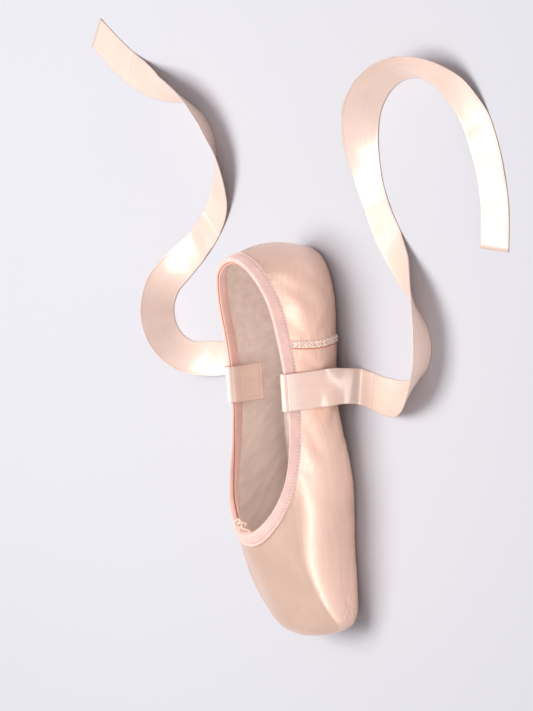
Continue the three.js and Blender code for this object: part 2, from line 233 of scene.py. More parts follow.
def lift(x):
    """Height of the outsole's underside above the floor."""
    t = np.clip((x - ARCH_FROM) / (ARCH_TO - ARCH_FROM), 0, 1)
    s = np.clip((x - SPRING_FROM) / (LENGTH - SPRING_FROM), 0, None)
    return ARCH_RISE * np.sin(math.pi * t) ** 2 + SPRING_RISE * s * s


def corners(rib, depth):
    """Under edge, outsole line, foot of the wall, knee and rim of each rib, at a depth inside."""
    flat = np.zeros_like(rib["out_x"])
    depth = (flat + depth)[:, None]
    out = np.stack([rib["out_x"], rib["out_y"], flat], 1)
    rim = np.stack([rib["rim_x"], rib["rim_y"], rib["rim_z"]], 1)
    sole = np.stack([rib["sole_x"], rib["sole_y"], flat], 1)
    inward = unit((rim - out) * (1, 1, 0))
    foot = out + inward * rib["foot_in"][:, None]
    knee = out + inward * rib["knee_in"][:, None]
    under = sole + unit(sole - foot) * TUCK
    floor = np.minimum(depth[:, 0], UNDER_WALL)
    under[:, 2] = lift(under[:, 0]) + SOLE_THICK + GAP + floor
    sole[:, 2] = lift(sole[:, 0]) + SOLE_EDGE + GAP + floor
    foot[:, 2] = lift(foot[:, 0]) + FEATHER_HEIGHT
    knee[:, 2] = rib["knee_z"]
    side = np.cross(inward, UP)
    wall_in = np.cross(unit(knee - foot), side)
    top_in = np.cross(unit(rim - knee), side)
    miter = (wall_in + top_in) / (1 + (wall_in * top_in).sum(1, keepdims=True))
    foot = foot + wall_in * depth
    foot[:, 2] += floor
    return under, sole, foot, knee + miter * depth, rim + top_in * depth


LINE_STEPS = (5, 7, 9, 7, 22, 12)  # samples of each stretch of a rib, from under the foot to the rim


def straight(a, b, steps):
    f = np.arange(steps)[None, :, None] / steps
    return a[:, None] * (1 - f) + b[:, None] * f


def bend(a, corner, b, steps):
    f = np.arange(steps)[None, :, None] / steps
    return a[:, None] * (1 - f) ** 2 + corner[:, None] * 2 * f * (1 - f) + b[:, None] * f * f


def rib_line(stations, depth):
    """Each rib as a line of points from under the foot to the rim, (ribs, points, 3)."""
    rib = rib_at(stations)
    if depth is None:
        depth = rib["wall"]
    under, sole, foot, knee, rim = corners(rib, depth)
    wall = np.linalg.norm(foot - knee, axis=1)
    top = np.linalg.norm(knee - rim, axis=1)
    flat = np.linalg.norm(foot - sole, axis=1)
    feather = np.minimum(np.maximum(2, FEATHER_ROUND - depth), 0.9 * flat)
    down = np.minimum(np.maximum(2, rib["down"] - depth), wall - feather)
    foot_in = foot + (sole - foot) * (feather / flat)[:, None]
    foot_up = foot + (knee - foot) * (feather / wall)[:, None]
    knee_down = knee + (foot - knee) * (down / wall)[:, None]
    knee_over = knee + (rim - knee) * (rib["over"] / top)[:, None]
    n = LINE_STEPS
    return np.concatenate([
        straight(under, sole, n[0]), straight(sole, foot_in, n[1]),
        bend(foot_in, foot, foot_up, n[2]), straight(foot_up, knee_down, n[3]),
        bend(knee_down, knee, knee_over, n[4]), straight(knee_over, rim, n[5]), rim[:, None],
    ], 1)


def run_from_rim(line):
    """Distance of each point of each line from the rim, where the lines end."""
    step = np.linalg.norm(np.diff(line, axis=1), axis=2)
    total = np.cumsum(step[:, ::-1], 1)[:, ::-1]
    return np.concatenate([total, np.zeros((len(line), 1))], 1)


def wall_length(stations):
    return run_from_rim(rib_line(stations, 0.0))[:, 0]


def on_wall(stations, drops, depth):
    """Points at distances down from the rim; a negative distance goes on past the rim."""
    line = rib_line(stations, depth)[:, ::-1]
    run = run_from_rim(line[:, ::-1])[:, ::-1]
    k = (run[:, 1:-1] < drops[:, None]).sum(1)
    rows = np.arange(len(line))
    f = (drops - run[rows, k]) / (run[rows, k + 1] - run[rows, k])
    return line[rows, k] + (line[rows, k + 1] - line[rows, k]) * f[:, None]


def ripple(along, wave, seed):
    """Uneven waves of about one length, from -1 to 1, the same every run."""
    draw = np.random.default_rng(seed)
    total = 0
    for share in (0.71, 1.0, 1.37, 1.93):
        total = total + np.sin(2 * math.pi * (along * share / wave + draw.random()))
    return total / 4


def soft_step(x):
    """From 0 at 0 to 1 at 1, level at both ends."""
    x = np.clip(x, 0, 1)
    return x * x * (3 - 2 * x)


def run_along(path):
    """Distance of each point of a path from its start."""
    return np.concatenate([[0], np.cumsum(np.linalg.norm(np.diff(path, axis=0), axis=1))])


def round_from_heel(stations):
    """Distance round the rim from the heel back, in millimetres."""
    s = np.linspace(0, ROWS_ROUND, 1200)
    run = run_along(rib_line(s, 0.0)[:, -1])
    return np.interp(np.asarray(stations) % ROWS_ROUND, s, run)


def relief(stations, drops, points):
    """How far the satin stands out from the last, in millimetres: creases, puckers and pleats."""
    x, y, z = points[..., 0], points[..., 1], points[..., 2]
    rim_run = round_from_heel(stations)
    from_toe = np.abs(stations % ROWS_ROUND - TOE_ROW)
    slack = soft_step((from_toe - 4.2) / 2.5)
    above = np.clip(z - lift(x) - FEATHER_HEIGHT, 0, None)
    clear = soft_step((drops - 7) / 9)
    out = slack * clear * (SLACK * ripple(x + 0.5 * z, 26, 3)
                           + FINE_SLACK * ripple(x - 1.3 * z, 13, 4))
    out += BOX_SLACK * clear * (1 - slack) * ripple(x + 0.8 * np.abs(y), 31, 5)
    for side, x0, z0, x1, z1, width, depth in CREASES:
        a, b = np.array([x0, z0]), np.array([x1 - x0, z1 - z0])
        t = ((x - a[0]) * b[0] + (z - a[1]) * b[1]) / (b @ b)
        held = np.clip(t, 0, 1)
        gap = np.hypot(x - a[0] - held * b[0], z - a[1] - held * b[1])
        fade = soft_step(1 - np.abs(t - 0.5) / 0.62)
        out -= (y * side > 6) * CREASE_SHARE * depth * np.exp(-(gap / width) ** 2) * fade
    # Gathers under the binding, where the tape draws the satin in.
    below = np.clip((drops - 6) / 7, 0, 1)
    out += BINDING_GATHER * (1 - soft_step(below)) * ripple(rim_run, 5.5, 6) * (drops > 2)
    # Puckers beside the side seams and the back seam.
    for row, height in ((SEAM_ROW, SIDE_SEAM_PUCKER), (ROWS_ROUND - SEAM_ROW, SIDE_SEAM_PUCKER),
                        (0.0, BACK_SEAM_PUCKER)):
        away = np.abs((stations - row + TOE_ROW) % ROWS_ROUND - TOE_ROW) * ROW_PITCH
        out += height * np.exp(-(away / 6) ** 2) * ripple(drops, 4.4, int(row) + 8) * clear
        out -= SEAM_SINK * np.exp(-(away / 1.6) ** 2)
    # Small puckers where the satin is drawn under and held by the outsole.
    low = np.exp(-(above / 3.2) ** 2)
    out += SOLE_PUCKER * low * ripple(rim_run, 6.3, 7) * soft_step(above / 1.2)
    # Pleats that take up the fullness under the toe.
    fan = soft_step((TOE_PLEATS_ROUND / 2 - 0.05 - from_toe) / 0.7)
    turn = (stations % ROWS_ROUND - TOE_PLEATS_FROM) / TOE_PLEATS_ROUND
    fold = 1 - np.abs(np.sin(math.pi * TOE_PLEATS * turn))
    out -= TOE_PLEAT_DEPTH * fan * fold**2 * np.exp(-(above / 3.6) ** 2)
    return out


def satin_face(stations, drops):
    """Points of the finished satin face with its directions: round the shoe, down and outwards."""
    stations, drops = np.broadcast_arrays(np.asarray(stations, float), np.asarray(drops, float))
    shape = stations.shape
    s, d = stations.ravel(), drops.ravel()
    here = on_wall(s, d, 0.0)
    forward = unit(on_wall(s + 0.02, d, 0.0) - on_wall(s - 0.02, d, 0.0))
    down = unit(on_wall(s, d + 0.4, 0.0) - on_wall(s, d - 0.4, 0.0))
    out = unit(np.cross(forward, down))
    here = here + out * relief(s, d, here)[:, None]
    return [v.reshape(*shape, 3) for v in (here, forward, down, out)]


def cloth_place(stations, drops):
    """Where a point of the satin lies on the flat cloth, warp along the shoe, in millimetres."""
    rib = rib_at(stations)
    out = unit(np.stack([rib["out_x"] - rib["rim_x"], rib["out_y"] - rib["rim_y"]], 1))
    rim = np.stack([rib["rim_x"], rib["rim_y"]], 1)
    return rim[:, None] + out[:, None] * drops[..., None]


# ---- Mesh making ----------------------------------------------------------------------------------
def deselect():
    if bpy.context.object and bpy.context.object.mode != "OBJECT":
        bpy.ops.object.mode_set(mode="OBJECT")
    bpy.ops.object.select_all(action="DESELECT")


def placed(points):
    """Millimetres from the heel back, as metres in the shared frame."""
    return (np.asarray(points, float) - (LENGTH / 2, 0, 0)) * MM


def cloth_grid(name, points, cloth, finish=None):
    """A grid primitive with its vertices put at points, (rows, columns, 3), and a cloth map in
    millimetres. Edges that meet are merged. finish gives the material number of a column."""
    rows, columns = points.shape[:2]
    deselect()
    bpy.ops.mesh.primitive_grid_add(x_subdivisions=columns - 1, y_subdivisions=rows - 1, size=1)
    piece = bpy.context.object
    piece.name = piece.data.name = name
    mesh = piece.data
    mesh.vertices.foreach_set("co", placed(points).astype(np.float32).ravel())
    corner = np.empty(len(mesh.loops), np.int32)
    mesh.loops.foreach_get("vertex_index", corner)
    cloth_map = mesh.uv_layers[0]
    cloth_map.name = "cloth"
    cloth_map.data.foreach_set("uv", cloth.reshape(-1, 2)[corner].astype(np.float32).ravel())
    if finish is not None:
        numbers = [finish(column) for column in corner.reshape(-1, 4).min(1) % columns]
        mesh.polygons.foreach_set("material_index", np.array(numbers, np.int32))
    mesh.update()
    tidy_mesh(piece)
    return piece


def tidy_mesh(piece):
    """Merges doubles, turns faces outwards and shades smooth."""
    deselect()
    piece.select_set(True)
    bpy.context.view_layer.objects.active = piece
    bpy.ops.object.mode_set(mode="EDIT")
    bpy.ops.mesh.select_all(action="SELECT")
    bpy.ops.mesh.remove_doubles(threshold=2e-6)
    bpy.ops.mesh.dissolve_degenerate(threshold=1e-7)
    bpy.ops.mesh.normals_make_consistent(inside=False)
    bpy.ops.object.mode_set(mode="OBJECT")
    bpy.ops.object.shade_smooth()


def wrapped(points, axis):
    """The array with its first row or column once more at the end."""
    return np.concatenate([points, np.take(points, [0], axis)], axis)


def closed(there, back, axis=1):
    """Across one face, back across the other, and to the start again."""
    return np.concatenate([there, np.flip(back, axis), np.take(there, [0], axis)], axis)


def band(name, front, back, cloth):
    """A closed band between two faces, each end shut along its middle line."""
    first, last = (closed(line, line, 0)[None] for line in (front[[0, -1]] + back[[0, -1]]) / 2)
    return cloth_grid(name, np.concatenate([first, closed(front, back), last]),
                      np.concatenate([cloth[:1], cloth, cloth[-1:]]))


def stitches(name, starts, ends, outs, width, arch=0.35):
    """One joined mesh of short stitches, each a rounded bead of thread from start to end."""
    deselect()
    bpy.ops.mesh.primitive_uv_sphere_add(segments=6, ring_count=6, radius=1)
    bead = bpy.context.object
    local = np.array([v.co for v in bead.data.vertices])[:, [2, 0, 1]]
    faces = [list(p.vertices) for p in bead.data.polygons]
    bpy.data.objects.remove(bead)
    starts, ends, outs = (np.asarray(v, float).reshape(-1, 3) for v in (starts, ends, outs))
    along = unit(ends - starts)
    half = np.linalg.norm(ends - starts, axis=1)[:, None, None] / 2
    side = unit(np.cross(outs, along))
    out = unit(np.cross(along, side))
    lengthwise = np.sign(local[:, 0]) * np.abs(local[:, 0]) ** 0.6
    hump = arch * width * (1 - lengthwise**2)
    points = ((starts + ends)[:, None] / 2 + along[:, None] * half * lengthwise[None, :, None]
              + side[:, None] * (local[:, 1] * width / 2)[None, :, None]
              + out[:, None] * (local[:, 2] * width / 2 + hump)[None, :, None])
    count = len(local)
    every = [[v + k * count for v in face] for k in range(len(starts)) for face in faces]
    mesh = bpy.data.meshes.new(name)
    mesh.from_pydata(placed(points.reshape(-1, 3)).tolist(), [], every)
    piece = bpy.data.objects.new(name, mesh)
    bpy.context.scene.collection.objects.link(piece)
    tidy_mesh(piece)
    return piece


def tube(name, path, radius, sides):
    """A closed tube round a path. radius(run, angle) gives its radius in millimetres."""
    path = np.asarray(path, float)
    along = unit(np.gradient(path, axis=0))
    run = run_along(path)
    side = np.empty_like(path)
    side[0] = unit(np.cross(along[0], UP + 0.01))
    for k in range(1, len(path)):
        side[k] = unit(side[k - 1] - along[k] * (side[k - 1] @ along[k]))
    other = np.cross(along, side)
    angle = np.linspace(0, 2 * math.pi, sides + 1)
    r = np.broadcast_to(radius(run[:, None], angle[None]), (len(path), sides + 1))[..., None]
    points = (path[:, None] + side[:, None] * np.cos(angle)[None, :, None] * r
              + other[:, None] * np.sin(angle)[None, :, None] * r)
    points[:, -1] = points[:, 0]
    points = np.concatenate([path[[0]][:, None].repeat(sides + 1, 1), points,
                             path[[-1]][:, None].repeat(sides + 1, 1)])
    run = np.concatenate([[0], run, [run[-1]]])
    cloth = np.stack(np.broadcast_arrays(run[:, None], angle[None] / math.pi), 2)
    return cloth_grid(name, points, cloth)


def finish_piece(piece, finishes, replaces=()):
    """Gives a piece its materials and its body."""
    for finish in finishes:
        piece.data.materials.append(finish)
    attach(piece, "root")
    if replaces:
        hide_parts(*replaces)
    return piece


def smooth_path(rows, steps):
    """Centripetal Catmull-Rom curve through rows of numbers; x, y, z set its pace."""
    rows = np.asarray(rows, float)
    ends = (2 * rows[0] - rows[1], 2 * rows[-1] - rows[-2])
    pts = np.vstack([ends[0], rows, ends[1]])
    count = len(rows) - 1
    out = []
    for t in np.linspace(0, count, steps + 1):
        i = min(int(t), count - 1)
        f = t - i
        p = pts[i:i + 4]
        d = [max(1e-4, np.linalg.norm(p[k + 1, :3] - p[k, :3])) ** 0.5 for k in range(3)]
        m1 = ((p[1] - p[0]) / d[0] - (p[2] - p[0]) / (d[0] + d[1]) + (p[2] - p[1]) / d[1]) * d[1]
        m2 = ((p[2] - p[1]) / d[1] - (p[3] - p[1]) / (d[1] + d[2]) + (p[3] - p[2]) / d[2]) * d[1]
        out.append((2 * p[1] - 2 * p[2] + m1 + m2) * f**3
                   + (-3 * p[1] + 3 * p[2] - 2 * m1 - m2) * f**2 + m1 * f + p[1])
    return np.array(out)


# ---- Materials ------------------------------------------------------------------------------------
def node(tree, kind, inputs=None, **settings):
    """Adds a shader node with its settings, and links or sets its inputs."""
    new = tree.nodes.new("ShaderNode" + kind)
    for key, value in settings.items():
        setattr(new, key, value)
    for key, value in (inputs or {}).items():
        if isinstance(value, bpy.types.NodeSocket):
            tree.links.new(value, new.inputs[key])
        else:
            new.inputs[key].default_value = value
    return new


def material(name):
    """A new material with an empty node tree and an output for its surface."""
    made = bpy.data.materials.new(name)
    made.use_nodes = True
    made.node_tree.nodes.clear()
    return made, made.node_tree


def surface(tree, inputs):
    shader = node(tree, "BsdfPrincipled", inputs)
    node(tree, "OutputMaterial", {"Surface": shader.outputs["BSDF"]})


def shade(colour, share):
    """A colour made darker or lighter by a share."""
    return [min(1.0, c * share) for c in colour] + [1.0]


def cloth_place_of(tree):
    return node(tree, "UVMap", uv_map="cloth").outputs["UV"]


def solid_place_of(tree):
    return node(tree, "TexCoord").outputs["Object"]


def stretched(tree, place, **inputs):
    return node(tree, "Mapping", {"Vector": place, **inputs}).outputs["Vector"]


def noise(tree, place, scale, detail, flat=True, **inputs):
    """Cloudy noise, in the plane of the cloth or, if not flat, in space."""
    inputs = {"Vector": place, "Scale": scale, "Detail": detail, **inputs}
    return node(tree, "TexNoise", inputs,
                noise_dimensions="2D" if flat else "3D").outputs["Fac"]


def ramp(tree, value, start, end, low=0.0, high=1.0, kind="LINEAR"):
    """From low to high, as a value goes from start to end."""
    return node(tree, "MapRange", {"Value": value, "From Min": start, "From Max": end,
                                   "To Min": low, "To Max": high},
                interpolation_type=kind).outputs["Result"]


def combined(tree, operation, *values):
    return node(tree, "Math", dict(enumerate(values)), operation=operation).outputs["Value"]


def blend(tree, share, first, second):
    return node(tree, "Mix", {"Factor": share, "A": first, "B": second},
                data_type="RGBA").outputs["Result"]


def bump(tree, height, strength, distance, **inputs):
    """The normal after a fine relief, whose height is in metres."""
    inputs = {"Height": height, "Strength": strength, "Distance": distance, **inputs}
    return node(tree, "Bump", inputs).outputs["Normal"]


def mottled(tree, pattern, colour, dark, light, low=0.3, high=0.7):
    """The colour from a darker to a lighter share of itself, as a pattern goes from low to high."""
    return blend(tree, ramp(tree, pattern, low, high), shade(colour, dark), shade(colour, light))


def polyester_satin(name, colour, streak=1.3, gloss=0.38, metal=0.45, coat=0.62,
                    relief_share=1.0, crushed=False, edge_at=0.0):
    """Polyester satin, five-end weave: long floats lie side by side, so the light runs along them
    in broad soft bands with fine streaks. A metallic share keeps the bands in the cloth's colour.
    streak is in millimetres, and edge_at is half the width of a ribbon with a woven edge."""
    made, tree = material(name)
    cloth, place = cloth_place_of(tree), solid_place_of(tree)
    # Warp streaks: real floats are 0.2 mm apart; drawn a streak apart, and 34 mm long, to show.
    floats = noise(tree, stretched(tree, cloth, Scale=(1 / 34, 1 / streak, 1)), 1.0, 3.0,
                   Roughness=0.62)
    # Single threads between them: 0.35 mm apart and 3 mm long.
    fine = noise(tree, stretched(tree, cloth, Scale=(1 / 3, 1 / 0.35, 1)), 1.0, 2.0)
    tone = combined(tree, "ADD", floats, noise(tree, place, 38.0, 2.0, flat=False))
    base = mottled(tree, tone, colour, 0.93, 1.04, low=0.7, high=1.3)
    weave = bump(tree, floats, 0.35, 0.00014 * relief_share)
    normal = bump(tree, fine, 0.3, 0.00008 * relief_share, Normal=weave)
    if crushed:
        # Low round the platform the satin is pulled tight over paste and canvas, and puckers finely.
        split = node(tree, "SeparateXYZ", {"Vector": place}).outputs
        there = combined(tree, "MULTIPLY",
                         ramp(tree, split["X"], 0.084, 0.103, kind="SMOOTHSTEP"),
                         ramp(tree, split["Z"], 0.027, 0.015, kind="SMOOTHSTEP"))
        pucker = noise(tree, place, 620.0, 2.0, flat=False)
        normal = bump(tree, pucker, there, 0.0010, Normal=normal)
    if edge_at:
        # The woven edge is denser, so it looks a little deeper in colour.
        across = node(tree, "SeparateXYZ", {"Vector": cloth}).outputs["Y"]
        share = ramp(tree, combined(tree, "ABSOLUTE", across), edge_at - 0.5, edge_at, high=0.55)
        base = blend(tree, share, base, shade(colour, 0.6))
    warp = node(tree, "Tangent", direction_type="UV_MAP", uv_map="cloth").outputs["Tangent"]
    surface(tree, {
        "Base Color": base, "Roughness": ramp(tree, fine, 0.3, 0.7, gloss - 0.03, gloss + 0.07),
        "Metallic": metal, "IOR": 1.54, "Specular IOR Level": 0.8, "Anisotropic": 0.35,
        "Anisotropic Rotation": 0.25, "Tangent": warp, "Coat Weight": coat,
        "Coat Roughness": 0.31, "Coat IOR": 1.5, "Normal": normal,
    })
    return made


def cotton_tape(colour):
    """Cotton twill tape, woven and folded on the bias: matt, with a fine slanted rib."""
    made, tree = material("cotton_twill_tape")
    cloth = cloth_place_of(tree)
    # Twill lines: real ones are 0.4 mm apart; drawn 0.9 mm apart so that they show.
    turned = stretched(tree, cloth, Rotation=(0, 0, math.radians(38)))
    twill = node(tree, "TexWave", {"Vector": turned, "Scale": 0.35, "Distortion": 0.8,
                                   "Detail": 1.0}, wave_profile="SIN").outputs["Fac"]
    weave = bump(tree, twill, 0.3, 0.0001)
    nap = bump(tree, noise(tree, cloth, 1.4, 3.0), 0.25, 0.0001, Normal=weave)
    surface(tree, {"Base Color": mottled(tree, noise(tree, cloth, 0.11, 2.0), colour, 0.93, 1.05),
                   "Roughness": 0.78, "IOR": 1.5, "Sheen Weight": 0.25, "Sheen Roughness": 0.5,
                   "Specular IOR Level": 0.3, "Normal": nap})
    return made


def cotton_drill(name, colour, pitch=0.9):
    """Unbleached cotton drill: dry and matt, with crossed threads and small slubs."""
    made, tree = material(name)
    cloth = cloth_place_of(tree)
    # Crossed threads: real ones are 0.5 mm apart; drawn 0.9 mm apart so that they show.
    warp, weft = (node(tree, "TexWave", {"Vector": cloth, "Scale": 0.31 / pitch,
                                         "Distortion": 0.6}, wave_profile="SIN",
                       bands_direction=heading).outputs["Fac"] for heading in "XY")
    weave = bump(tree, combined(tree, "MULTIPLY", warp, weft), 0.35, 0.00015)
    surface(tree, {"Base Color": mottled(tree, noise(tree, cloth, 0.16, 4.0), colour, 0.90, 1.04),
                   "Roughness": 0.88, "IOR": 1.5, "Specular IOR Level": 0.25, "Normal": weave})
    return made


def sewing_thread(colour):
    """Mercerised polyester thread, twisted: a soft shine on a fine slanted twist."""
    made, tree = material("polyester_thread")
    twist = noise(tree, solid_place_of(tree), 1900.0, 1.0, flat=False)
    surface(tree, {"Base Color": mottled(tree, twist, colour, 0.88, 1.06),
                   "Roughness": 0.45, "IOR": 1.54, "Sheen Weight": 0.2})
    return made


def painted_shade_fold(colour):
    """Painted shade for satin or tape inside a fold, a channel or a needle hole: a deep, warm colour
    without gloss that stands in for the shade and the light bounced between its sides."""
    made, tree = material("painted_shade_satin_fold")
    depth = noise(tree, solid_place_of(tree), 700.0, 2.0, flat=False)
    surface(tree, {"Base Color": mottled(tree, depth, colour, 0.8, 1.1),
                   "Roughness": 0.8, "IOR": 1.5, "Specular IOR Level": 0.2})
    return made


def buffed_leather(colour):
    """Vegetable-tanned leather, buffed on its outer face: a short nap, cloudy colour, and long
    scuffs where it rubs the floor."""
    made, tree = material("buffed_sole_leather")
    place = solid_place_of(tree)
    nap = noise(tree, place, 900.0, 4.0, flat=False)
    cloud = noise(tree, place, 45.0, 4.0, flat=False)
    along_floor = stretched(tree, place, Scale=(18, 220, 60), Rotation=(0, 0, 0.3))
    scuff = noise(tree, along_floor, 1.0, 5.0, flat=False)
    worn = blend(tree, ramp(tree, scuff, 0.58, 0.72, high=0.5),
                 mottled(tree, cloud, colour, 0.84, 1.08), shade(colour, 0.62))
    surface(tree, {"Base Color": worn, "Roughness": ramp(tree, nap, 0.3, 0.7, 0.62, 0.86),
                   "IOR": 1.5, "Normal": bump(tree, nap, 0.4, 0.00012)})
    return made


def twisted_cotton(colour):
    """Three-ply twisted cotton cord: matt and soft, with short loose fibres."""
    made, tree = material("twisted_cotton_cord")
    fibre = noise(tree, cloth_place_of(tree), 3.0, 3.0)
    surface(tree, {"Base Color": mottled(tree, fibre, colour, 0.9, 1.05),
                   "Roughness": 0.8, "IOR": 1.5, "Sheen Weight": 0.3, "Sheen Roughness": 0.5,
                   "Normal": bump(tree, fibre, 0.3, 0.0001)})
    return made


def painted_floor(colour):
    """Studio floor, rolled with matt paint: even, with a faint cloud and stipple."""
    made, tree = material("matt_painted_floor")
    place = solid_place_of(tree)
    cloud = noise(tree, place, 3.0, 3.0, flat=False)
    stipple = noise(tree, place, 500.0, 2.0, flat=False)
    surface(tree, {"Base Color": mottled(tree, cloud, colour, 0.985, 1.01, 0, 1),
                   "Roughness": 0.6, "Normal": bump(tree, stipple, 0.05, 0.0002)})
    return made


# ---- Stage: floor, lights and camera --------------------------------------------------------------
# The camera looks at the shoe's left side from above and a little behind, with the toe down.
CAMERA_HEIGHT, CAMERA_TURN, CAMERA_ROLL = (math.radians(angle) for angle in (37, 10.37, -3.82))
CAMERA_DISTANCE = 1.4
CAMERA_LENS = 117.7
CAMERA_OVER = Vector((0.056, 0.0, 0.025))  # the point of the box that it keeps at its distance
CAMERA_AIM = (-0.0172, 0.1067)  # the middle of its view, right and up from that point
# Soft boxes: place, the point each faces, width, height, power in watts, colour.
LIGHTS = (
    ("key", (-0.15, -0.45, 1.4), (0.02, 0.0, 0.0), 1.0, 1.0, 24.5, (1.0, 0.985, 0.96)),
    ("strip", (0.35, 1.25, 0.075), (0.06, 0.0, 0.03), 1.1, 0.13, 5.2, (1.0, 0.99, 0.98)),
    ("heel", (-0.55, 1.2, 0.10), (-0.08, 0.0, 0.03), 0.5, 0.16, 2.0, (1.0, 0.99, 0.98)),
)
ROOM_COLOUR, ROOM_STRENGTH = (0.97, 0.97, 1.0, 1.0), 0.46
FLOOR_SIZE = 8


class POINTE_OT_stage(bpy.types.Operator):
    """Lay the pale floor, set the soft lights and place the camera"""
    bl_idname = "pointe.stage"
    bl_label = "Stage"

    def execute(self, context):
        deselect()
        bpy.ops.mesh.primitive_plane_add(size=FLOOR_SIZE, location=(0, 0, 0))
        floor = context.object
        floor.name = "floor"
        floor.data.materials.append(painted_floor(colours().floor))
        for name, place, at, width, height, power, colour in LIGHTS:
            bpy.ops.object.light_add(type="AREA", location=place)
            light = context.object
            light.name = "softbox_" + name
            light.data.shape = "RECTANGLE"
            light.data.size, light.data.size_y = width, height
            light.data.energy = power
            light.data.color = colour
            facing = Vector(at) - Vector(place)
            light.rotation_euler = facing.to_track_quat("-Z", "Y").to_euler()
        world = bpy.data.worlds.new("studio")
        context.scene.world = world
        world.use_nodes = True
        background = world.node_tree.nodes["Background"].inputs
        background["Color"].default_value = ROOM_COLOUR
        background["Strength"].default_value = ROOM_STRENGTH
        towards = Vector((-math.sin(CAMERA_TURN), math.cos(CAMERA_TURN) * math.cos(CAMERA_HEIGHT),
                          math.cos(CAMERA_TURN) * math.sin(CAMERA_HEIGHT)))
        top = Vector((-1, 0, 0))
        top = (top - towards * top.dot(towards)).normalized()
        right = top.cross(towards)
        spun = Matrix.Rotation(CAMERA_ROLL, 3, towards)
        right, top = spun @ right, spun @ top
        place = CAMERA_OVER + towards * CAMERA_DISTANCE
        aim = CAMERA_OVER + right * CAMERA_AIM[0] + top * CAMERA_AIM[1]
        back = (place - aim).normalized()
        right = top.cross(back).normalized()
        top = back.cross(right)
        bpy.ops.object.camera_add(location=place)
        camera = context.object
        camera.rotation_euler = Matrix((right, top, back)).transposed().to_euler()
        camera.data.lens = CAMERA_LENS
        camera.data.sensor_width = 36
        context.scene.camera = camera
        context.scene.view_settings.view_transform = "Standard"
        return {"FINISHED"}


# ---- Ribbons and drawstring -----------------------------------------------------------------------
def ribbon_route(x, side, on_floor):
    """Rows of x, y, height of the lower edge and roll, from inside the quarter to the far end."""
    over = [(x, side * out, height, 0) for out, height in OVER_RIM]
    heights = [LANDING] + [ON_FLOOR] * (len(on_floor) - 1)
    return over + [(*row[:2], height, row[2]) for row, height in zip(on_floor, heights)]


def ribbon_rows(route, steps):
    """Middle line of a ribbon and its direction across, in millimetres."""
    half = sizes().ribbon_width / MM / 2
    rows = np.array(route, float)
    roll = np.radians(rows[:, 3])
    rows[:, 2] += half * np.abs(np.sin(roll))
    line = smooth_path(rows, steps)
    middle = line[:, :3]
    # The roll follows its own uniform curve through the same rows.
    count = len(rows) - 1
    pts = np.concatenate([[2 * roll[0] - roll[1]], roll, [2 * roll[-1] - roll[-2]]])
    t = np.linspace(0, count, steps + 1)
    i = np.minimum(t.astype(int), count - 1)
    f = t - i
    a, b, c, d = pts[i], pts[i + 1], pts[i + 2], pts[i + 3]
    turn = 0.5 * (2 * b + (c - a) * f + (2 * a - 5 * b + 4 * c - d) * f**2
                  + (3 * b - a - 3 * c + d) * f**3)
    along = unit(np.gradient(middle, axis=0))
    flat = unit(np.stack([along[:, 1], -along[:, 0], np.zeros(len(along))], 1))
    across = flat * np.cos(turn)[:, None] + UP * np.sin(turn)[:, None]
    return middle, unit(across), along


RIBBON_STEPS = 320
RIBBON_EDGE, RIBBON_EDGE_RISE = 0.965, 0.16  # middle of the woven edge as a share, and its height
RIBBON_DOWN, RIBBON_SETTLED = 68, 82  # run over which it comes to lie on the floor
RIBBON_ABOVE_FLOOR = 0.1
# The box of hand stitches at the inner end: its two runs, half its width, and the stitches' pitch.
TACK_RUNS, TACK_HALF, TACK_PITCH, TACK_LENGTH = (2.6, 16.4), 8.4, 2.1, 1.3


def tack_ends(middle, across, along, run, outward, stand):
    """Starts and ends of the stitches round the sewn-down end of a ribbon."""
    starts, ends = [], []
    rows = [(r, w, across) for r in TACK_RUNS
            for w in np.arange(-TACK_HALF, TACK_HALF + 0.1, TACK_PITCH)]
    sides = [(r, w, along) for r in np.arange(4.2, 15, TACK_PITCH) for w in (-TACK_HALF, 9.6)]
    for at_run, offset, heading in rows + sides:
        k = int(np.argmin(np.abs(run - at_run)))
        starts.append(middle[k] + across[k] * offset + outward[k] * stand)
        ends.append(starts[-1] + heading[k] * TACK_LENGTH)
    return starts, ends


